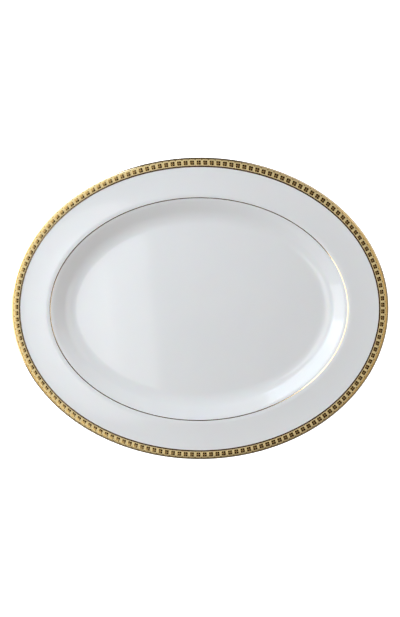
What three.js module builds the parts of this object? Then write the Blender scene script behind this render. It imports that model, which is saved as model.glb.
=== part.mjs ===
// Oval serving platter of gilded porcelain: clay body, glaze, and four bands of gold.
// Millimetres. The foot's resting face lies on z = 0, the long axis is X and the short axis is Y.
import * as THREE from "three";

// Plan of the platter
const platterLength = 381;
const platterWidth = 305;
const flangeWidth = 39.6; // outer edge to the top of the well
const bougeRun = 26; // level width of the well's wall, with its rounding into the floor

// Heights and wall thicknesses
const footHeight = 3.4; // resting face to the underside of the floor
const floorThickness = 4.8;
const wellDepth = 12.8; // top of the well down to the floor
const bougeSlope = 35; // degrees, of the straight part of the well's wall
const flangeRise = 3.5; // top of the well up to the crest of the rim
const bougeThickness = 4.3;
const flangeThickness = 3.7;

// Rim
const rollWidth = 5.4; // where the flange begins to roll over
const crestInset = 2.8; // highest line of the rim
const lipRadius = 1.4; // rounding of the outer edge
const lipSlope = 27; // degrees down, where the roll meets the rounding
const flangeSlope = 9.5; // degrees, beside the roll
const vergeSlope = 2; // degrees, beside the well
const vergeBlend = 5; // length of the rounding on each side of the well's edge

// Foot ring
const footWidth = 4.6;
const footOverlap = 2.4; // how far the foot reaches out under the well's wall
const footFillet = 2.2;
const footChamfer = 0.4;
const bareHeight = 0.7; // unglazed height of the foot's walls

// Layers, each lying just clear of the one below it
const goldThickness = 0.12;
const glazeThickness = 0.3;
const layerGap = 0.05;

// Gold decoration: insets from the outer edge
const lipGoldWrap = 2.1; // reach of the lip's gold on the underside
const bandOuterInset = 1.6;
const bandInnerInset = 8;
const innerLineInset = 9.45;
const wellLineWidth = 0.8;
const goldSpacing = 0.1; // between one band of gold and the next

// Facets
const segmentsAround = 64;

const edgeRadius = platterWidth / 2; // the profile is drawn as a round dish of the platter's width
const floorTop = footHeight + floorThickness;
const vergeHeight = floorTop + wellDepth;
const crestHeight = vergeHeight + flangeRise;
const footInset = flangeWidth + bougeRun - footOverlap;
const glazeTopDepth = goldThickness + layerGap;
const glazeBackDepth = glazeTopDepth + glazeThickness;
const bodyDepth = glazeBackDepth + layerGap;
const parallelLimit = footInset + footWidth + footFillet; // further in, the plan shrinks to the centre

const along = (degrees) => {
  const angle = THREE.MathUtils.degToRad(degrees);
  return new THREE.Vector2(Math.cos(angle), Math.sin(angle));
};

// A place on the profile, from its inset and its height.
const at = (inset, height) => new THREE.Vector2(edgeRadius - inset, height);

// A knot of the profile: its place, the heading the profile leaves it in, and the steps to the next.
const knot = (point, heading, steps) => ({ point, heading, steps });

// Stations along a chain of knots. Each span is the cubic nearest to a circular arc that leaves
// one knot and arrives at the next along their headings, and air lies to the left of the profile.
function stationsAlong(knots) {
  const stations = [];
  knots.forEach((start, index) => {
    const end = knots[index + 1];
    if (!end) {
      stations.push({ point: start.point, air: along(start.heading + 90) });
      return;
    }
    const turn = THREE.MathUtils.degToRad(end.heading - start.heading);
    const handle = start.point.distanceTo(end.point) / (3 * Math.cos(turn / 4) ** 2);
    const span = new THREE.CubicBezierCurve(
      start.point,
      start.point.clone().addScaledVector(along(start.heading), handle),
      end.point.clone().addScaledVector(along(end.heading), -handle),
      end.point,
    );
    for (let step = 0; step < start.steps; step += 1) {
      const fraction = step / start.steps;
      const tangent = span.getTangent(fraction);
      stations.push({
        point: span.getPoint(fraction),
        air: new THREE.Vector2(-tangent.y, tangent.x),
      });
    }
  });
  return stations;
}

// Points at a depth below the surface, from one station to another. A station number with a
// fraction is a place on the facet between two stations.
function layer(stations, depth, from = 0, to = stations.length - 1) {
  const sunk = stations.map(({ point, air }) => point.clone().addScaledVector(air, -depth));
  const place = (number) => {
    const low = Math.min(Math.floor(number), sunk.length - 2);
    return sunk[low].clone().lerp(sunk[low + 1], number - low);
  };
  const between = sunk.filter((_, index) => index > from && index < to);
  return [place(from), ...between, place(to)];
}

// The station number at an inset, searching forwards from a station.
function stationAt(stations, inset, first) {
  const radius = edgeRadius - inset;
  const index = stations.findIndex((station, number) => {
    const next = stations[number + 1];
    return number >= first && next && (station.point.x - radius) * (next.point.x - radius) <= 0;
  });
  const start = stations[index].point.x;
  return index + (radius - start) / (stations[index + 1].point.x - start);
}

// Places on the profile that are worked out from the sizes. The rounding between the floor and the
// wall has the radius that lets the wall, at its slope, climb the well's depth over its run.
const wall = along(bougeSlope);
const bougeRadius = (bougeRun * (wall.y / wall.x) - wellDepth) / (1 / wall.x - 1);
const bougeFoot = at(
  flangeWidth + bougeRun - bougeRadius * wall.y,
  floorTop + bougeRadius * (1 - wall.x),
);
const verge = at(flangeWidth, vergeHeight);
const bougeTop = verge.clone().addScaledVector(wall, -vergeBlend);
const bougeBack = bougeTop.clone().addScaledVector(along(bougeSlope + 90), -bougeThickness);
const flangeStart = verge.clone().addScaledVector(along(vergeSlope), vergeBlend);
const flangeBack = flangeStart.clone().addScaledVector(along(vergeSlope + 90), -flangeThickness);
const rollDrop = (rollWidth - crestInset) * Math.tan(THREE.MathUtils.degToRad(flangeSlope / 2));
const lipInset = lipRadius * (1 - along(lipSlope).y);
const lipDrop = (crestInset - lipInset) * Math.tan(THREE.MathUtils.degToRad(lipSlope / 2));
const noseHeight = crestHeight - lipDrop - lipRadius * along(lipSlope).x;
const footBackAngle = THREE.MathUtils.radToDeg(Math.asin((footOverlap + footFillet) / bougeRadius));
const footBackHeight = footHeight + bougeRadius * (1 - along(footBackAngle).x);

// Face of the platter: centre of the floor, bouge, verge, flange, roll and lip, then back under
// the flange and down the outer wall of the foot.
const faceStations = stationsAlong([
  knot(at(edgeRadius, floorTop), 0, 1),
  knot(at(flangeWidth + bougeRun, floorTop), 0, 3),
  knot(bougeFoot, bougeSlope, 1),
  knot(bougeTop, bougeSlope, 3),
  knot(flangeStart, vergeSlope, 3),
  knot(at(rollWidth, crestHeight - rollDrop), flangeSlope, 2),
  knot(at(crestInset, crestHeight), 0, 2),
  knot(at(lipInset, crestHeight - lipDrop), -lipSlope, 2),
  knot(at(0, noseHeight), -90, 2),
  knot(at(lipRadius, noseHeight - lipRadius), vergeSlope - 180, 1),
  knot(flangeBack, vergeSlope - 180, 2),
  knot(bougeBack, bougeSlope - 180, 3),
  knot(at(footInset - footFillet, footBackHeight), footBackAngle - 180, 2),
  knot(at(footInset, footBackHeight - footFillet), -90, 1),
  knot(at(footInset, bareHeight), -90, 1),
]);

// Underside of the floor: up the inner wall of the foot, then in to the centre.
const baseStations = stationsAlong([
  knot(at(footInset + footWidth, bareHeight), 90, 1),
  knot(at(footInset + footWidth, footHeight - footFillet), 90, 3),
  knot(at(parallelLimit, footHeight), 180, 1),
  knot(at(edgeRadius, footHeight), 180, 1),
]);

// Plan of the platter: a point keeps its bearing and its inset from the oval edge. Curves of equal
// inset are parallel to the edge as far in as the foot, then shrink evenly to the centre.
function ovalPoint(bearing, radius) {
  const halfLength = platterLength / 2;
  const halfWidth = platterWidth / 2;
  const cos = Math.cos(bearing);
  const sin = Math.sin(bearing);
  const slant = Math.hypot(halfWidth * cos, halfLength * sin);
  const inset = Math.min(edgeRadius - radius, parallelLimit);
  const shrink = Math.min(1, radius / (edgeRadius - parallelLimit));
  return new THREE.Vector2(
    halfLength * cos - (inset * halfWidth * cos) / slant,
    halfWidth * sin - (inset * halfLength * sin) / slant,
  ).multiplyScalar(shrink);
}

// A solid from a closed outline in the plane of the profile.
function ovalSolid(name, outline, look) {
  const ring = THREE.ShapeUtils.area(outline) < 0 ? outline.toReversed() : outline;
  const geometry = new THREE.LatheGeometry(ring, segmentsAround);
  geometry.rotateX(Math.PI / 2);
  const position = geometry.getAttribute("position");
  for (let index = 0; index < position.count; index += 1) {
    const x = position.getX(index);
    const y = position.getY(index);
    const moved = ovalPoint(Math.atan2(y, x), Math.hypot(x, y));
    position.setXY(index, moved.x, moved.y);
  }
  geometry.computeVertexNormals();
  const mesh = new THREE.Mesh(geometry, new THREE.MeshStandardMaterial(look));
  mesh.name = name;
  return mesh;
}

// A thin layer between two depths, from one station to another.
function layerOutline(stations, top, bottom, from, to) {
  const outer = layer(stations, top, from, to);
  const inner = layer(stations, bottom, from, to).toReversed();
  return [...outer, ...inner, outer[0].clone()];
}

// A band of gold between two stations of the face.
const goldBand = (name, from, to, look) =>
  ovalSolid(name, layerOutline(faceStations, 0, goldThickness, from, to), look);

const faceInset = (inset) => stationAt(faceStations, inset, 0);
const noseStation = faceStations.findIndex(({ point }) => point.x >= edgeRadius);

const bisqueLook = { color: 0xe9e4da, roughness: 0.8, metalness: 0 };
const glazeLook = { color: 0xf1f3f4, roughness: 0.08, metalness: 0 };
const burnishedLook = { color: 0xc79a45, roughness: 0.18, metalness: 1 };
const etchedLook = { color: 0xb59a5e, roughness: 0.55, metalness: 1 };

// Clay body: the inner face of both glazes, and the bare foot between them.
const bodyFace = layer(faceStations, bodyDepth);
const bodyBase = layer(baseStations, bodyDepth);
const footOuter = bodyFace.at(-1).x;
const footInner = bodyBase[0].x;
const porcelainBody = ovalSolid(
  "porcelain_body",
  [
    ...bodyFace,
    new THREE.Vector2(footOuter, footChamfer),
    new THREE.Vector2(footOuter - footChamfer, 0),
    new THREE.Vector2(footInner + footChamfer, 0),
    new THREE.Vector2(footInner, footChamfer),
    ...bodyBase,
  ],
  bisqueLook,
);

// Glaze: one coat over the face, lip and back, and one under the floor inside the foot.
const faceGlaze = ovalSolid(
  "face_glaze",
  [
    ...layer(faceStations, glazeTopDepth),
    ...layer(faceStations, glazeBackDepth).toReversed(),
  ],
  glazeLook,
);
const baseGlaze = ovalSolid(
  "base_glaze",
  [
    ...layer(baseStations, glazeTopDepth).toReversed(),
    ...layer(baseStations, glazeBackDepth),
  ],
  glazeLook,
);

// Gold: the wrapped lip, the etched band, the burnished line inside it, and the line of the well.
const giltLip = goldBand(
  "gilt_lip",
  faceInset(bandOuterInset - goldSpacing),
  stationAt(faceStations, lipGoldWrap, noseStation),
  burnishedLook,
);
const etchedBand = goldBand(
  "etched_band",
  faceInset(bandInnerInset),
  faceInset(bandOuterInset),
  etchedLook,
);
const bandInnerLine = goldBand(
  "band_inner_line",
  faceInset(innerLineInset),
  faceInset(bandInnerInset + goldSpacing),
  burnishedLook,
);
const wellLine = goldBand(
  "well_line",
  faceInset(flangeWidth + wellLineWidth / 2),
  faceInset(flangeWidth - wellLineWidth / 2),
  burnishedLook,
);

const platter = new THREE.Group();
platter.name = "oval_platter";
platter.add(porcelainBody, faceGlaze, baseGlaze, giltLip, etchedBand, bandInnerLine, wellLine);

export default platter;
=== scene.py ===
import math

import bpy
import numpy as np
from mathutils import Matrix, Quaternion, Vector


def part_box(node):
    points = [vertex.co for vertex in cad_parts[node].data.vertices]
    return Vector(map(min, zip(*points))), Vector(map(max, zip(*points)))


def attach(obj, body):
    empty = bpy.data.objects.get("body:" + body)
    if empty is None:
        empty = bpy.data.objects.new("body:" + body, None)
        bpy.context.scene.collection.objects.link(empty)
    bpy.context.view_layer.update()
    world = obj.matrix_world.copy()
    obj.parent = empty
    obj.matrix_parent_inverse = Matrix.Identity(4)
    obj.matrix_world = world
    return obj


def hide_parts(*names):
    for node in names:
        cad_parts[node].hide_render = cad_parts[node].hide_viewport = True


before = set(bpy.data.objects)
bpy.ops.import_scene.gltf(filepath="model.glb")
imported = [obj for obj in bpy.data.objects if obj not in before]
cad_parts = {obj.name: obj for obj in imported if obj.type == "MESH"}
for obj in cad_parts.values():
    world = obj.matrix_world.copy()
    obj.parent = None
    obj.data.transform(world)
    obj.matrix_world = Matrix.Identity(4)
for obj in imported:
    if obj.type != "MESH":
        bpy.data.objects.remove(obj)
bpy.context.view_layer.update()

mm = 0.001
print("frame loaded with", len(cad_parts), "nodes")

# The platter's section, in millimetres and degrees. The plan and the rim's height come from the frame.
section = {
    "flangeWidth": 39.6,      # outer edge to the top of the well
    "bougeRun": 26.0,         # level width of the well's wall, with its rounding into the floor
    "footHeight": 3.4,
    "floorThickness": 4.8,
    "wellDepth": 12.8,
    "bougeSlope": 35,         # of the straight part of the well's wall
    "bougeThickness": 4.3,
    "flangeThickness": 3.7,
    "rollWidth": 5.4,         # where the flange begins to roll over
    "crestInset": 2.8,        # highest line of the rim
    "lipRadius": 1.4,
    "lipSlope": 27,           # down, where the roll meets the edge's rounding
    "flangeSlope": 9.5,       # beside the roll
    "vergeSlope": 2,          # beside the well
    "vergeBlend": 5.0,        # length of the rounding on each side of the well's edge
    "footWidth": 4.6,
    "footOverlap": 2.4,       # how far the foot reaches out under the well's wall
    "footFillet": 2.2,
    "footChamfer": 0.4,
    "bareHeight": 0.7,        # unglazed height of the foot's walls
}

# Depths of the layers below the platter's outermost surface, in millimetres
layers = {"goldBack": 0.12, "glazeTop": 0.17, "glazeBack": 0.47, "clay": 0.52}

# Insets of the gilding from the outer edge, in millimetres
gilding = {
    "lipWrap": 2.1,           # on the underside
    "bandOuter": 1.6,
    "bandInner": 8.0,
    "lineInner": 9.45,
    "wellLineWidth": 0.8,
    "spacing": 0.1,
}

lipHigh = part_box("gilt_lip")[1]
halfLength = lipHigh.x / mm
halfWidth = lipHigh.y / mm
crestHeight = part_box("etched_band")[1].z / mm
parallelLimit = sum(section[name] for name in ("flangeWidth", "bougeRun", "footWidth", "footFillet"))
parallelLimit -= section["footOverlap"]


# The direction (cos, sin) of an angle in degrees
def heading(degrees):
    return np.array([math.cos(math.radians(degrees)), math.sin(math.radians(degrees))])


# A chain of knots, each (reach, height, heading, steps), becomes points and the directions to the air.
# Reach is the inset with its sign turned, so that it grows outwards. Each span is the cubic nearest
# to an arc: handles of chord / (3 cos^2(turn / 4)) along the headings. Air is the tangent turned left.
def profileCurve(knots):
    points, air = [], []
    for start, end in zip(knots, knots[1:]):
        a, b = np.array(start[:2]), np.array(end[:2])
        handle = np.linalg.norm(b - a) / (3 * math.cos(math.radians(end[2] - start[2]) / 4) ** 2)
        p, q = a + handle * heading(start[2]), b - handle * heading(end[2])
        t = (np.arange(start[3]) / start[3])[:, None]
        points.append((1 - t) ** 3 * a + 3 * (1 - t) ** 2 * t * p + 3 * (1 - t) * t ** 2 * q + t ** 3 * b)
        tangent = (1 - t) ** 2 * (p - a) + 2 * (1 - t) * t * (q - p) + t ** 2 * (b - q)
        tangent /= np.linalg.norm(tangent, axis=1)[:, None]
        air.append(np.stack([-tangent[:, 1], tangent[:, 0]], 1))
    points.append(np.array([knots[-1][:2]]))
    air.append(heading(knots[-1][2] + 90)[None])
    return np.concatenate(points), np.concatenate(air)


# Plan of a place at a bearing and an inset: the oval (a cos t, b sin t) moved inwards along its
# normal by the inset, and further in than the foot, shrunk evenly to the centre.
def ovalPlan(bearing, inset):
    cosine, sine = np.cos(bearing), np.sin(bearing)
    slant = np.hypot(halfWidth * cosine, halfLength * sine)
    held = np.minimum(inset, parallelLimit)
    shrink = np.clip((halfWidth - inset) / (halfWidth - parallelLimit), 0, 1)
    x = (halfLength * cosine - held * halfWidth * cosine / slant) * shrink
    y = (halfWidth * sine - held * halfLength * sine / slant) * shrink
    return x, y


# Every point of a profile carried round the oval at every bearing: a grid of profile by bearing
def carryRound(profile, bearings):
    x, y = ovalPlan(bearings[None, :], -profile[:, 0:1])
    z = np.broadcast_to(profile[:, 1:2], x.shape)
    return np.stack([x, y, z], -1)


# Puts vertices in millimetres and faces into a new object, and smooths all but its sharp edges
def makePiece(name, vertices, faces, uv=None, sharpAngle=40):
    mesh = bpy.data.meshes.new(name)
    mesh.from_pydata((vertices * mm).tolist(), [], faces)
    if uv is not None:
        layer = mesh.uv_layers.new(name="bandUv")
        layer.data.foreach_set("uv", np.asarray(uv, np.float32).ravel())
    mesh.shade_smooth()
    mesh.set_sharp_from_angle(angle=math.radians(sharpAngle))
    mesh.update()
    piece = bpy.data.objects.new(name, mesh)
    bpy.context.scene.collection.objects.link(piece)
    return piece


# A closed skin from a grid whose columns go round. Rows run with the air on their left. A row at the
# centre is drawn to one point, and a profile that doesn't reach the centre closes on itself.
def skinPiece(name, grid, loop=False, across=None, turns=0):
    rows, columns = grid.shape[:2]
    number = np.arange(rows * columns).reshape(rows, columns)
    atCentre = np.hypot(grid[:, 0, 0], grid[:, 0, 1]) < 1e-6
    number[atCentre] = number[atCentre][:, :1]
    following = np.roll(number, -1, axis=1)
    upper = np.arange(rows if loop else rows - 1)
    lower = (upper + 1) % rows
    quads = np.stack([number[upper], number[lower], following[lower], following[upper]], -1).reshape(-1, 4)
    used = np.unique(quads)
    renumber = np.zeros(rows * columns, int)
    renumber[used] = np.arange(len(used))
    quads = renumber[quads]
    pointed = (quads[:, 0] == quads[:, 3]) | (quads[:, 1] == quads[:, 2])
    fan = quads[pointed]
    triangles = np.where(fan[:, :1] == fan[:, 3:], fan[:, [0, 1, 2]], fan[:, [0, 1, 3]])
    faces = quads[~pointed].tolist() + triangles.tolist()
    uv = None
    if across is not None:
        turn = np.broadcast_to(np.arange(columns) * turns / columns, (len(upper), columns))
        beside = turn + turns / columns
        nextAcross = np.roll(across, -1, axis=1)
        u = np.stack([turn, turn, beside, beside], -1)
        v = np.stack([across[upper], across[lower], nextAcross[lower], nextAcross[upper]], -1)
        uv = np.stack([u, v], -1)
    return makePiece(name, grid.reshape(-1, 3)[used], faces, uv)


# The outermost surface's face side, from the centre of the floor to the bottom of the foot's outer
# wall. The wall's rounding has the radius (run tan slope - depth) / (1 / cos slope - 1), which lets it
# leave the floor level and end in the straight slope that meets the flange. Each rounding of the rim drops
# by its run times tan(turn / 2), as an arc does, and the back is the face sunk by the wall's thickness.
def faceKnots(fine):
    s = section
    floorTop = s["footHeight"] + s["floorThickness"]
    bougeSlope = s["bougeSlope"]
    wall = heading(bougeSlope)
    bougeRadius = (s["bougeRun"] * wall[1] / wall[0] - s["wellDepth"]) / (1 / wall[0] - 1)
    bougeFoot = -s["flangeWidth"] - s["bougeRun"] + bougeRadius * wall[1]
    verge = np.array([-s["flangeWidth"], floorTop + s["wellDepth"]])
    bougeTop = verge - s["vergeBlend"] * wall
    bougeBack = bougeTop - s["bougeThickness"] * heading(bougeSlope + 90)
    flangeStart = verge + s["vergeBlend"] * heading(s["vergeSlope"])
    flangeBack = flangeStart - s["flangeThickness"] * heading(s["vergeSlope"] + 90)
    rollDrop = (s["rollWidth"] - s["crestInset"]) * math.tan(math.radians(s["flangeSlope"] / 2))
    lipInset = s["lipRadius"] * (1 - heading(s["lipSlope"])[1])
    lipDrop = (s["crestInset"] - lipInset) * math.tan(math.radians(s["lipSlope"] / 2))
    noseHeight = crestHeight - lipDrop - s["lipRadius"] * heading(s["lipSlope"])[0]
    footInset = s["flangeWidth"] + s["bougeRun"] - s["footOverlap"]
    footAngle = math.degrees(math.asin((s["footOverlap"] + s["footFillet"]) / bougeRadius))
    footBack = s["footHeight"] + bougeRadius * (1 - heading(footAngle)[0])
    return [
        (-halfWidth, floorTop, 0, 4 * fine),
        (-s["flangeWidth"] - s["bougeRun"], floorTop, 0, 8 * fine),
        (bougeFoot, floorTop + bougeRadius * (1 - wall[0]), bougeSlope, 3 * fine),
        (*bougeTop, bougeSlope, 6 * fine),
        (*flangeStart, s["vergeSlope"], 8 * fine),
        (-s["rollWidth"], crestHeight - rollDrop, s["flangeSlope"], 3 * fine),
        (-s["crestInset"], crestHeight, 0, 4 * fine),
        (-lipInset, crestHeight - lipDrop, -s["lipSlope"], 4 * fine),
        (0, noseHeight, -90, 4 * fine),
        (-s["lipRadius"], noseHeight - s["lipRadius"], s["vergeSlope"] - 180, 3 * fine),
        (*flangeBack, s["vergeSlope"] - 180, 4 * fine),
        (*bougeBack, bougeSlope - 180, 6 * fine),
        (-footInset + s["footFillet"], footBack, footAngle - 180, 3 * fine),
        (-footInset, footBack - s["footFillet"], -90, 1),
        (-footInset, s["bareHeight"], -90, 1),
    ]


# The underside of the floor, from the bottom of the foot's inner wall to the centre
def baseKnots(fine):
    s = section
    footInner = s["flangeWidth"] + s["bougeRun"] - s["footOverlap"] + s["footWidth"]
    return [
        (-footInner, s["bareHeight"], 90, 1),
        (-footInner, s["footHeight"] - s["footFillet"], 90, 3 * fine),
        (-parallelLimit, s["footHeight"], 180, 3 * fine),
        (-halfWidth, s["footHeight"], 180, 1),
    ]


# Smoothness of the drawn rings. The clay lies under the glaze, so its profile has a third of the steps.
rings = {"columns": 264, "glazeFineness": 3, "clayFineness": 1}

facePoints, faceAir = profileCurve(faceKnots(rings["glazeFineness"]))
basePoints, baseAir = profileCurve(baseKnots(rings["glazeFineness"]))
noseIndex = int(np.argmax(facePoints[:, 0]))
ringBearings = np.arange(rings["columns"]) * 2 * np.pi / rings["columns"]


# The part of the face between two places, each an inset and whether it is past the lip, with exact
# ends found by straight interpolation between neighbouring stations
def faceStretch(start, end, depth=0.0):
    sunk = facePoints - depth * faceAir

    def placeOf(inset, pastLip):
        side = np.arange(noseIndex, len(facePoints)) if pastLip else np.arange(noseIndex + 1)
        reach = facePoints[side, 0]
        order = np.argsort(reach)
        return np.interp(-inset, reach[order], side[order].astype(float))

    first, last = placeOf(*start), placeOf(*end)
    between = np.arange(math.floor(first) + 1, math.ceil(last))
    places = np.concatenate([[first], between, [last]])
    index = np.arange(len(sunk))
    return np.stack([np.interp(places, index, sunk[:, axis]) for axis in (0, 1)], 1)


# The coat over the face, the lip and the back: its outer side sunk along the air by the depth of the
# glaze's top, then its inner side, sunk to the glaze's back, going home
def makeFaceGlaze():
    outer = facePoints - layers["glazeTop"] * faceAir
    inner = facePoints - layers["glazeBack"] * faceAir
    return skinPiece("glazed_face", carryRound(np.concatenate([outer, inner[::-1]]), ringBearings))


# The coat under the floor: its inner side from the centre out to the foot, then its outer side back
def makeBaseGlaze():
    outer = basePoints - layers["glazeTop"] * baseAir
    inner = basePoints - layers["glazeBack"] * baseAir
    return skinPiece("glazed_underside", carryRound(np.concatenate([inner[::-1], outer]), ringBearings))


# The clay: both surfaces sunk to the clay's depth, joined by the bare foot with its two small chamfers
def makeClayBody():
    coarse, coarseAir = profileCurve(faceKnots(rings["clayFineness"]))
    under, underAir = profileCurve(baseKnots(rings["clayFineness"]))
    face = coarse - layers["clay"] * coarseAir
    base = under - layers["clay"] * underAir
    chamfer = section["footChamfer"]
    outer, inner = face[-1, 0], base[0, 0]
    foot = np.array([[outer, chamfer], [outer - chamfer, 0], [inner + chamfer, 0], [inner, chamfer]])
    return skinPiece("clay_body", carryRound(np.concatenate([face, foot, base]), ringBearings))


# A ring of gold between two places on the face: the surface there, then the same sunk to the gold's back
def makeGold(name, start, end):
    outer = faceStretch(start, end)
    inner = faceStretch(start, end, layers["goldBack"])[::-1]
    return skinPiece(name, carryRound(np.concatenate([outer, inner]), ringBearings), loop=True)


# The rim band's chain of squares, in millimetres. The chain is drawn in narrower at the oval's ends.
chain = {
    "squares": 161,
    "fromLine": 3.63,         # middle of the inner line to the middle of the squares
    "squareSize": 4.5,
    "squareCorner": 0.9,
    "endNarrowing": 0.17,     # of the chain's width
    "narrowsFrom": 0.4,       # cos^2 of the bearing where the narrowing starts, and also its range
    "padHeight": 0.025,
    "channelDepth": 0.01,
    "channelHalf": 0.45,      # of a square's half
    "shoulder": 0.84,         # of a square's half, where its top turns down to the edge
    "edgeSunk": 0.01,         # the pad's edge goes down into the band
    "columnsPerSquare": 4,    # of the band under it
}

lineMiddle = (gilding["bandInner"] + gilding["spacing"] + gilding["lineInner"]) / 2


# Width of the chain against its full width: 1 along the sides, less where cos^2 of the bearing is high,
# with a smooth step t^2 (3 - 2t) between
def chainWidth(bearing):
    toEnd = np.clip((np.cos(bearing) ** 2 - chain["narrowsFrom"]) / chain["narrowsFrom"], 0, 1)
    return 1 - chain["endNarrowing"] * toEnd ** 2 * (3 - 2 * toEnd)


# Bearings of places spaced by length along the squares' middle line, given as fractions of a turn.
# The line's length is summed over short chords, and the bearing is read back from it.
def bearingsAlong(fractions):
    chords = 4000
    bearing = np.linspace(0, 2 * np.pi, chords + 1)
    x, y = ovalPlan(bearing, np.full_like(bearing, lineMiddle - chain["fromLine"]))
    length = np.concatenate([[0], np.cumsum(np.hypot(np.diff(x), np.diff(y)))])
    return np.interp(np.mod(fractions, 1) * length[-1], length, bearing), length[-1]


chainLength = bearingsAlong(np.zeros(1))[1]
pitch = chainLength / chain["squares"]

# Length over the roll, outwards from the middle of the inner line, for each station of the profile
overRoll = faceStretch((lineMiddle, False), (0, False))
rollLength = np.concatenate([[0], np.cumsum(np.linalg.norm(np.diff(overRoll, axis=0), axis=1))])


# The etched band, as a ring of gold whose columns keep step with the squares. Its map runs in squares
# along the band and, across it, in millimetres over the roll divided by the chain's width.
def makeEtchedBand():
    start, end = (gilding["bandInner"], False), (gilding["bandOuter"], False)
    outer = faceStretch(start, end)
    inner = faceStretch(start, end, layers["goldBack"])[::-1]
    columns = chain["squares"] * chain["columnsPerSquare"]
    bearings = bearingsAlong(np.arange(columns) / columns)[0]
    fromLine = np.interp(outer[:, 0], overRoll[:, 0], rollLength)
    fromLine = np.concatenate([fromLine, fromLine[::-1]])
    across = fromLine[:, None] / chainWidth(bearings)[None]
    grid = carryRound(np.concatenate([outer, inner]), bearings)
    return skinPiece("etched_rim_band", grid, loop=True, across=across, turns=chain["squares"])


# One square is a seven by seven grid over p and q from -1 to 1. A point past a corner's centre is
# drawn in to the corner's circle. The top stands at the pad's height, sunk along p = 0 and q = 0.
def makeSquares():
    side = np.array([chain["channelHalf"], chain["shoulder"], 1])
    steps = np.concatenate([-side[::-1], [0], side])
    p, q = np.meshgrid(steps, steps, indexing="ij")
    half, corner = chain["squareSize"] / 2, chain["squareCorner"]
    size = np.stack([abs(p), abs(q)]) * half
    past = np.maximum(size - (half - corner), 0)
    reach = np.hypot(past[0], past[1])
    pull = np.minimum(1, corner / np.maximum(reach, 1e-9))
    along, across = np.sign(np.stack([p, q])) * (np.minimum(size, half - corner) + past * pull)
    channel = np.minimum(1, np.minimum(abs(p), abs(q)) / chain["channelHalf"])
    lift = chain["padHeight"] - chain["channelDepth"] * (1 - channel)
    lift = np.where(np.maximum(abs(p), abs(q)) >= 1, -chain["edgeSunk"], lift)
    count = chain["squares"]
    centre = (np.arange(count) + 0.5) / count
    bearing = bearingsAlong(centre[:, None, None] + along[None] / chainLength)[0]
    place = (chain["fromLine"] + across[None]) * chainWidth(bearing)
    reachAt, heightAt = (np.interp(place, rollLength, overRoll[:, axis]) for axis in (0, 1))
    faceReach = facePoints[:noseIndex, 0]
    airAt = [np.interp(reachAt, faceReach, faceAir[:noseIndex, axis]) for axis in (0, 1)]
    x, y = ovalPlan(bearing, -(reachAt + airAt[0] * lift))
    vertices = np.stack([x, y, heightAt + airAt[1] * lift], -1).reshape(-1, 3)
    number = np.arange(vertices.shape[0]).reshape(count, len(steps), len(steps))
    quads = np.stack([number[:, :-1, :-1], number[:, :-1, 1:], number[:, 1:, 1:], number[:, 1:, :-1]], -1)
    quads = quads.reshape(-1, 4)[:, ::-1]
    spread = np.broadcast_to(np.stack([p, q], -1) * 0.5 + 0.5, (*number.shape, 2)).reshape(-1, 2)
    return makePiece("burnished_squares", vertices, quads.tolist(), spread[quads], sharpAngle=60)


# An sRGB hex colour turned to linear light: c / 12.92 in the darkest part, and above it
# ((c + 0.055) / 1.055) to the power 2.4
def hexColour(code):
    channels = [int(code[i:i + 2], 16) / 255 for i in (1, 3, 5)]
    linear = [c / 12.92 if c <= 0.04045 else ((c + 0.055) / 1.055) ** 2.4 for c in channels]
    return (*linear, 1.0)


# Adds a node, sets its properties, and fills its inputs with values or with other nodes' outputs.
# An input is named with _ for a space, or numbered as i0, i1 and so on.
def addNode(tree, kind, settings=None, **inputs):
    node = tree.nodes.new(kind)
    for name, value in (settings or {}).items():
        setattr(node, name, value)
    for name, value in inputs.items():
        numbered = name[0] == "i" and name[1:].isdigit()
        socket = node.inputs[int(name[1:]) if numbered else name.replace("_", " ")]
        if isinstance(value, bpy.types.NodeSocket):
            tree.links.new(value, socket)
        else:
            socket.default_value = value
    return node


# An empty material and its node tree
def newMaterial(name):
    material = bpy.data.materials.new(name)
    material.use_nodes = True
    tree = material.node_tree
    tree.nodes.clear()
    return material, tree


# Sends a shader to the surface
def finishMaterial(tree, shader):
    output = addNode(tree, "ShaderNodeOutputMaterial")
    tree.links.new(shader.outputs[0], output.inputs["Surface"])


# Hard-paste porcelain under a clear feldspathic glaze: cool white with a faint cloudiness, a slight
# glow from within, and a mirror gloss that ripples a little as fired glaze does
porcelain = {
    "white": "#F6F4F4",
    "shade": "#F1F0F1",
    "cloudMm": 60,
    "ior": 1.5,
    "roughness": 0.07,
    "rippleMm": 14,
    "rippleHeightMm": 0.3,
    "rippleStrength": 0.06,
    "glow": 0.1,
    "glowMm": 1.0,
}


def glazedPorcelain():
    material, tree = newMaterial("glazedPorcelain")
    p = porcelain
    place = addNode(tree, "ShaderNodeTexCoord").outputs["Object"]
    cloud = addNode(tree, "ShaderNodeTexNoise", Vector=place, Scale=1 / (p["cloudMm"] * mm), Detail=2.0)
    tint = addNode(tree, "ShaderNodeMix", {"data_type": "RGBA"}, Factor=cloud.outputs["Fac"],
                   i6=hexColour(p["white"]), i7=hexColour(p["shade"]))
    ripple = addNode(tree, "ShaderNodeTexNoise", Vector=place, Scale=1 / (p["rippleMm"] * mm), Detail=1.0)
    bump = addNode(tree, "ShaderNodeBump", Strength=p["rippleStrength"], Distance=p["rippleHeightMm"] * mm,
                   Height=ripple.outputs["Fac"])
    shader = addNode(tree, "ShaderNodeBsdfPrincipled", Base_Color=tint.outputs[2],
                     Roughness=p["roughness"], IOR=p["ior"], Normal=bump.outputs["Normal"],
                     Subsurface_Weight=p["glow"], Subsurface_Scale=p["glowMm"] * mm)
    finishMaterial(tree, shader)
    return material


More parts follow.
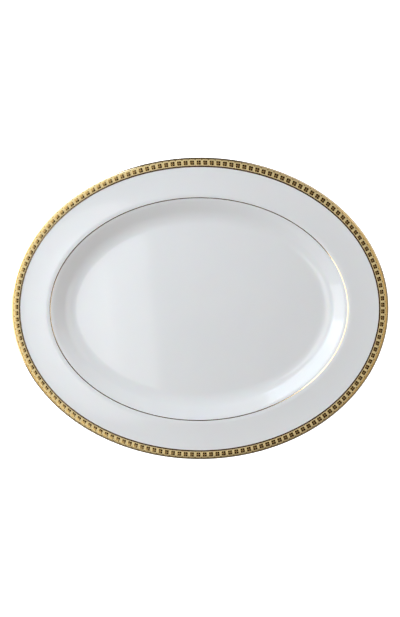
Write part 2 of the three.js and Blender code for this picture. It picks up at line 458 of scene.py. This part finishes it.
# Unglazed biscuit, wiped clean before firing: dry, matt and finely grained, greyer where it has rubbed
# on shelves. Its real grain is under a tenth of a millimetre, drawn coarser here so that it shows.
biscuit = {
    "clay": "#E4DFD3",
    "rub": "#C9C1B2",
    "rubMm": 9,
    "rubFrom": (0.5, 0.75),
    "grainMm": 0.35,
    "grainHeightMm": 0.05,
    "grainStrength": 0.5,
    "roughness": 0.85,
    "ior": 1.5,
}


def bareBiscuit():
    material, tree = newMaterial("bareBiscuit")
    b = biscuit
    place = addNode(tree, "ShaderNodeTexCoord").outputs["Object"]
    grain = addNode(tree, "ShaderNodeTexNoise", Vector=place, Scale=1 / (b["grainMm"] * mm), Detail=3.0)
    rub = addNode(tree, "ShaderNodeTexNoise", Vector=place, Scale=1 / (b["rubMm"] * mm), Detail=4.0,
                  Roughness=0.7)
    worn = addNode(tree, "ShaderNodeMapRange", Value=rub.outputs["Fac"], From_Min=b["rubFrom"][0],
                   From_Max=b["rubFrom"][1])
    tint = addNode(tree, "ShaderNodeMix", {"data_type": "RGBA"}, Factor=worn.outputs[0],
                   i6=hexColour(b["clay"]), i7=hexColour(b["rub"]))
    bump = addNode(tree, "ShaderNodeBump", Strength=b["grainStrength"], Distance=b["grainHeightMm"] * mm,
                   Height=grain.outputs["Fac"])
    shader = addNode(tree, "ShaderNodeBsdfPrincipled", Base_Color=tint.outputs[2], IOR=b["ior"],
                     Roughness=b["roughness"], Normal=bump.outputs["Normal"])
    finishMaterial(tree, shader)
    return material


# Best gold, fired and burnished with agate: a soft mirror, deeper in colour in patches, with fine
# rubbing marks. Real marks are finer still, and are drawn coarser here so that they show.
burnished = {
    "gold": "#F8E8CA",
    "deep": "#E6CC9A",
    "patchMm": 5,
    "roughness": 0.08,
    "markMm": 0.6,
    "markHeightMm": 0.02,
    "markStrength": 0.15,
}


def burnishedGold():
    material, tree = newMaterial("burnishedGold")
    b = burnished
    place = addNode(tree, "ShaderNodeTexCoord").outputs["Object"]
    patch = addNode(tree, "ShaderNodeTexNoise", Vector=place, Scale=1 / (b["patchMm"] * mm), Detail=4.0)
    tint = addNode(tree, "ShaderNodeMix", {"data_type": "RGBA"}, Factor=patch.outputs["Fac"],
                   i6=hexColour(b["gold"]), i7=hexColour(b["deep"]))
    mark = addNode(tree, "ShaderNodeTexNoise", Vector=place, Scale=1 / (b["markMm"] * mm), Detail=2.0)
    bump = addNode(tree, "ShaderNodeBump", Strength=b["markStrength"], Distance=b["markHeightMm"] * mm,
                   Height=mark.outputs["Fac"])
    shader = addNode(tree, "ShaderNodeBsdfPrincipled", Base_Color=tint.outputs[2], Metallic=1.0,
                     Roughness=b["roughness"], Normal=bump.outputs["Normal"])
    finishMaterial(tree, shader)
    return material


# The band's ground, eaten matt by acid before gilding: an even tan gold that doesn't mirror. Each
# square has a paler rounded frame, and small dark hollows lie between the corners of the frames.
# The etch's real grain is a few hundredths of a millimetre, drawn coarser here so that it shows.
etched = {
    "ground": "#E9C47B",
    "frame": "#EEDAA4",
    "hollow": "#6A4A1A",
    "roughness": 0.48,
    "grainStrength": 0.6,
    "frameSize": 6.5,         # millimetres, as all below
    "frameWidth": 1.0,
    "frameCorner": 1.6,
    "softness": 0.25,
    "grainMm": 0.25,
    "grainHeightMm": 0.03,
}


# A point lies length(max(|p| - straight half, 0)) beyond a square's straight part. The frame reaches
# from the corner's radius less the frame's width to the radius, and the hollows lie past it.
def etchedGold():
    material, tree = newMaterial("etchedGold")
    e = etched

    def step(value, start, finish):
        return addNode(tree, "ShaderNodeMapRange", {"interpolation_type": "SMOOTHSTEP"}, Value=value,
                       From_Min=start, From_Max=finish).outputs[0]

    uv = addNode(tree, "ShaderNodeUVMap", {"uv_map": "bandUv"}).outputs["UV"]
    parts = addNode(tree, "ShaderNodeSeparateXYZ", Vector=uv)
    turn = addNode(tree, "ShaderNodeMath", {"operation": "FRACT"}, i0=parts.outputs["X"])
    along = addNode(tree, "ShaderNodeMath", {"operation": "MULTIPLY_ADD"}, i0=turn.outputs[0],
                    i1=pitch, i2=-pitch / 2)
    across = addNode(tree, "ShaderNodeMath", {"operation": "SUBTRACT"}, i0=parts.outputs["Y"],
                     i1=chain["fromLine"])
    straight = e["frameSize"] / 2 - e["frameCorner"]
    pasts = []
    for place in (along, across):
        size = addNode(tree, "ShaderNodeMath", {"operation": "ABSOLUTE"}, i0=place.outputs[0])
        past = addNode(tree, "ShaderNodeMath", {"operation": "SUBTRACT"}, i0=size.outputs[0], i1=straight)
        pasts.append(addNode(tree, "ShaderNodeMath", {"operation": "MAXIMUM"}, i0=past.outputs[0], i1=0.0))
    corner = addNode(tree, "ShaderNodeCombineXYZ", X=pasts[0].outputs[0], Y=pasts[1].outputs[0])
    reach = addNode(tree, "ShaderNodeVectorMath", {"operation": "LENGTH"}, i0=corner.outputs[0])
    edge, soft = e["frameCorner"], e["softness"]
    outside = step(reach.outputs["Value"], edge, edge + soft)
    inRow = step(across.outputs[0], e["frameSize"] / 2 + soft, e["frameSize"] / 2)
    hollow = addNode(tree, "ShaderNodeMath", {"operation": "MULTIPLY"}, i0=outside, i1=inRow)
    inside = step(reach.outputs["Value"], edge - e["frameWidth"] - soft, edge - e["frameWidth"])
    framed = addNode(tree, "ShaderNodeMath", {"operation": "MULTIPLY"}, i0=inside, i1=inRow)
    ground = addNode(tree, "ShaderNodeMix", {"data_type": "RGBA"}, Factor=framed.outputs[0],
                     i6=hexColour(e["ground"]), i7=hexColour(e["frame"]))
    tint = addNode(tree, "ShaderNodeMix", {"data_type": "RGBA"}, Factor=hollow.outputs[0],
                   i6=ground.outputs[2], i7=hexColour(e["hollow"]))
    place = addNode(tree, "ShaderNodeTexCoord").outputs["Object"]
    grain = addNode(tree, "ShaderNodeTexNoise", Vector=place, Scale=1 / (e["grainMm"] * mm), Detail=2.0)
    bump = addNode(tree, "ShaderNodeBump", Strength=e["grainStrength"], Distance=e["grainHeightMm"] * mm,
                   Height=grain.outputs["Fac"])
    shader = addNode(tree, "ShaderNodeBsdfPrincipled", Base_Color=tint.outputs[2], Metallic=1.0,
                     Roughness=e["roughness"], Normal=bump.outputs["Normal"])
    finishMaterial(tree, shader)
    return material


# Raised squares of the same gold, burnished and glossy, with painted shade in their colour: a darker
# gold for the dark room they mirror, and matt in the cross between their four lobes, which the burnisher
# misses
polishedShadedSquares = {
    # painted shade: this gold is darker than the rest of the gilding, for the dark room that the squares
    # mirror
    "gold": "#AC945F",
    "cross": "#CAAC74",
    "roughness": 0.06,
    "crossRoughness": 0.32,
    "crossFade": (0.04, 0.09),    # of a square, the distances from its middle lines where it fades
}


# The cross is where the nearer of the distances from the square's two middle lines is small
def burnishedSquares():
    material, tree = newMaterial("burnishedSquareGoldWithPaintedShade")
    p = polishedShadedSquares
    uv = addNode(tree, "ShaderNodeUVMap", {"uv_map": "bandUv"}).outputs["UV"]
    parts = addNode(tree, "ShaderNodeSeparateXYZ", Vector=uv)
    arms = []
    for axis in ("X", "Y"):
        offset = addNode(tree, "ShaderNodeMath", {"operation": "SUBTRACT"}, i0=parts.outputs[axis], i1=0.5)
        arms.append(addNode(tree, "ShaderNodeMath", {"operation": "ABSOLUTE"}, i0=offset.outputs[0]))
    nearest = addNode(tree, "ShaderNodeMath", {"operation": "MINIMUM"}, i0=arms[0].outputs[0],
                      i1=arms[1].outputs[0])
    cross = addNode(tree, "ShaderNodeMapRange", Value=nearest.outputs[0], From_Min=p["crossFade"][0],
                    From_Max=p["crossFade"][1], To_Min=1.0, To_Max=0.0)
    tint = addNode(tree, "ShaderNodeMix", {"data_type": "RGBA"}, Factor=cross.outputs[0],
                   i6=hexColour(p["gold"]), i7=hexColour(p["cross"]))
    rough = addNode(tree, "ShaderNodeMapRange", Value=cross.outputs[0], To_Min=p["roughness"],
                    To_Max=p["crossRoughness"])
    shader = addNode(tree, "ShaderNodeBsdfPrincipled", Base_Color=tint.outputs[2], Metallic=1.0,
                     Roughness=rough.outputs[0])
    finishMaterial(tree, shader)
    return material


glazeFinish = glazedPorcelain()
goldFinish = burnishedGold()

faceGlaze = makeFaceGlaze()
baseGlaze = makeBaseGlaze()
clayBody = makeClayBody()
print("porcelain made")

lipStart = gilding["bandOuter"] - gilding["spacing"]
lineStart = gilding["bandInner"] + gilding["spacing"]
wellLineHalf = gilding["wellLineWidth"] / 2
wellLineEdges = [(section["flangeWidth"] + side * wellLineHalf, False) for side in (1, -1)]

giltLip = makeGold("burnished_lip", (lipStart, False), (gilding["lipWrap"], True))
innerLine = makeGold("burnished_inner_line", (gilding["lineInner"], False), (lineStart, False))
wellLine = makeGold("burnished_well_line", *wellLineEdges)
etchedBand = makeEtchedBand()
squares = makeSquares()
print("gilding made:", chain["squares"], "squares at", round(pitch, 3), "mm")

for piece, node, slot, finish in (
    (faceGlaze, "face_glaze", "glaze", glazeFinish),
    (baseGlaze, "base_glaze", "glaze", glazeFinish),
    (clayBody, "porcelain_body", "bisque", bareBiscuit()),
    (giltLip, "gilt_lip", "burnished_gold", goldFinish),
    (innerLine, "band_inner_line", "burnished_gold", goldFinish),
    (wellLine, "well_line", "burnished_gold", goldFinish),
    (etchedBand, "etched_band", "etched_gold", etchedGold()),
    (squares, None, "burnished_gold", burnishedSquares()),
):
    piece.data.materials.append(finish)
    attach(piece, "root")
    if node:
        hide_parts(node)
print("finishes applied")


# A flat sheet of white paper, lit a little from within so that it stays even
paper = {"sizeMetres": 12, "colour": "#FFFFFF", "glow": 0.85, "roughness": 0.9}


def makeFloor():
    bpy.ops.mesh.primitive_plane_add(size=paper["sizeMetres"])
    floor = bpy.context.object
    floor.name = "floor"
    material, tree = newMaterial("paleFloor")
    colour = hexColour(paper["colour"])
    shader = addNode(tree, "ShaderNodeBsdfPrincipled", Base_Color=colour, Roughness=paper["roughness"],
                     Emission_Color=colour, Emission_Strength=paper["glow"])
    finishMaterial(tree, shader)
    floor.data.materials.append(material)
    floor.visible_glossy = False    # the gold mirrors the room, not the paper


# Softboxes face the platter. Sizes and distances are in metres, angles in degrees, power in watts.
softboxes = {
    "key": {"azimuth": 147, "elevation": 32, "distance": 0.85, "size": (0.8, 0.5), "power": 4.7,
            "colour": "#E4F3FF"},    # daylight, and the others plain white
    "keyFar": {"azimuth": 180, "elevation": 24, "distance": 1.25, "size": (1.0, 0.5), "power": 3.3},
    "overhead": {"azimuth": 184, "elevation": 66, "distance": 1.08, "size": (0.8, 0.34), "power": 1.7},
    "overheadEdge": {"azimuth": 184, "elevation": 77, "distance": 1.03, "size": (0.7, 0.1), "power": 0.35},
    "fill": {"azimuth": 46, "elevation": 28, "distance": 1.25, "size": (1.3, 0.7), "power": 2.1},
    "fillHigh": {"azimuth": 2, "elevation": 60, "distance": 1.2, "size": (1.1, 0.5), "power": 2.1},
}


# Direction from an azimuth and an elevation: (cos a cos e, sin a cos e, sin e)
def makeSoftboxes():
    for name, box in softboxes.items():
        azimuth, elevation = math.radians(box["azimuth"]), math.radians(box["elevation"])
        level = math.cos(elevation)
        direction = Vector((math.cos(azimuth) * level, math.sin(azimuth) * level, math.sin(elevation)))
        lamp = bpy.data.lights.new(name, "AREA")
        lamp.shape = "RECTANGLE"
        lamp.size, lamp.size_y = box["size"]
        lamp.energy = box["power"]
        lamp.color = hexColour(box.get("colour", "#FFFFFF"))[:3]
        holder = bpy.data.objects.new(name, lamp)
        holder.location = direction * box["distance"]
        holder.rotation_euler = direction.to_track_quat("Z", "Y").to_euler()
        bpy.context.scene.collection.objects.link(holder)


# The room that the gold and the glaze mirror. Heights run from straight down (-1) to straight up (1).
room = {
    "brightness": {
        -1.0: 0.08, -0.05: 0.12, 0.02: 0.50, 0.2: 0.46, 0.4: 0.34, 0.65: 0.15, 0.85: 0.14, 1.0: 0.14,
    },
    "ceilingFrom": (0.5, 0.85),      # heights where the warm ceiling begins and is full
    "ceilingLoss": (0.42, 0.70),     # share of green and of blue that it lacks
    "sideShare": (0.45, 1.7),        # of that brightness, along y and along x
}


# The room's light at each height, times a share that grows with the square of the direction's x
def makeRoom():
    world = bpy.data.worlds.new("room")
    bpy.context.scene.world = world
    world.use_nodes = True
    tree = world.node_tree
    tree.nodes.clear()
    direction = addNode(tree, "ShaderNodeTexCoord").outputs["Generated"]
    height = addNode(tree, "ShaderNodeSeparateXYZ", Vector=direction)
    place = addNode(tree, "ShaderNodeMapRange", Value=height.outputs["Z"], From_Min=-1.0, From_Max=1.0)
    ramp = addNode(tree, "ShaderNodeValToRGB", Fac=place.outputs[0])
    stops = ramp.color_ramp.elements
    while len(stops) < len(room["brightness"]):
        stops.new(0.5)    # its place is set below
    warmFrom, warmFull = room["ceilingFrom"]
    for stop, (level, brightness) in zip(stops, room["brightness"].items()):
        stop.position = (level + 1) / 2
        warm = min(max((level - warmFrom) / (warmFull - warmFrom), 0), 1)
        green, blue = (brightness * (1 - loss * warm) for loss in room["ceilingLoss"])
        stop.color = (brightness, green, blue, 1)
    side = addNode(tree, "ShaderNodeMath", {"operation": "POWER"}, i0=height.outputs["X"], i1=2.0)
    share = addNode(tree, "ShaderNodeMapRange", Value=side.outputs[0], To_Min=room["sideShare"][0],
                    To_Max=room["sideShare"][1])
    background = addNode(tree, "ShaderNodeBackground", Color=ramp.outputs["Color"],
                         Strength=share.outputs[0])
    output = addNode(tree, "ShaderNodeOutputWorld")
    tree.links.new(background.outputs[0], output.inputs["Surface"])


view = {
    "distance": 0.900,        # metres
    "tilt": (4.4, 5.0),       # degrees towards +x and towards +y
    "roll": -1.2,
    "aim": (3.2, 2.1),        # millimetres from the centre of the rim
    "belowCrest": 1,          # millimetres, of the aim under the rim's highest line
    "lens": 52.20,            # millimetres, before a sensor 36 mm wide
}


# The camera stands off the aim along (tan tilt x, tan tilt y, 1), with its right side level along +x
# and then rolled about that line
def makeCamera():
    camera = bpy.data.objects.new("camera", bpy.data.cameras.new("camera"))
    camera.data.lens = view["lens"]
    target = Vector((*view["aim"], crestHeight - view["belowCrest"])) * mm
    tiltX, tiltY = (math.tan(math.radians(angle)) for angle in view["tilt"])
    direction = Vector((tiltX, tiltY, 1)).normalized()
    camera.location = target + direction * view["distance"]
    level = Vector((0, 1, 0)).cross(direction).normalized()
    right = Quaternion(direction, math.radians(view["roll"])) @ level
    upward = direction.cross(right)
    camera.rotation_euler = Matrix((right, upward, direction)).transposed().to_euler()
    bpy.context.scene.collection.objects.link(camera)
    bpy.context.scene.camera = camera


makeFloor()
makeSoftboxes()
makeRoom()
makeCamera()
bpy.context.scene.view_settings.view_transform = "Standard"
print("floor, light and camera set")
